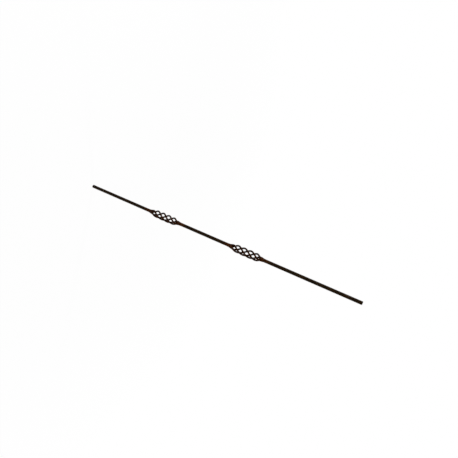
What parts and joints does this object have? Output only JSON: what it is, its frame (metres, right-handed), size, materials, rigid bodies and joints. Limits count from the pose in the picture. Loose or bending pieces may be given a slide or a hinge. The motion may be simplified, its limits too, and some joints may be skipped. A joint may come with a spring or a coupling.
{
  "type": "wrought iron baluster",
  "caption": "Slender round iron stair baluster with open baskets of twisted rods along its length, fixed upright between a tread and a handrail.",
  "frame": {"origin": "centre of the foot's end face, at the bottom of the baluster", "axes": "+Z along the bars from foot to head, +X and +Y level; the rods stand on the diagonals at the middle of each basket"},
  "size_m": [0.0296, 0.0296, 1.1176],
  "materials": {
    "bar_finish": "near-black brown rubbed finish, satin",
    "basket_finish": "dark brown finish rubbed back to copper on the high spots, satin"
  },
  "bodies": {
    "root": {"bottom_bar": "bar_finish", "middle_bar": "bar_finish", "top_bar": "bar_finish", "lower_basket_rod_1": "basket_finish", "lower_basket_rod_2": "basket_finish", "lower_basket_rod_3": "basket_finish", "lower_basket_rod_4": "basket_finish", "upper_basket_rod_1": "basket_finish", "upper_basket_rod_2": "basket_finish", "upper_basket_rod_3": "basket_finish", "upper_basket_rod_4": "basket_finish"}
  },
  "joints": []
}
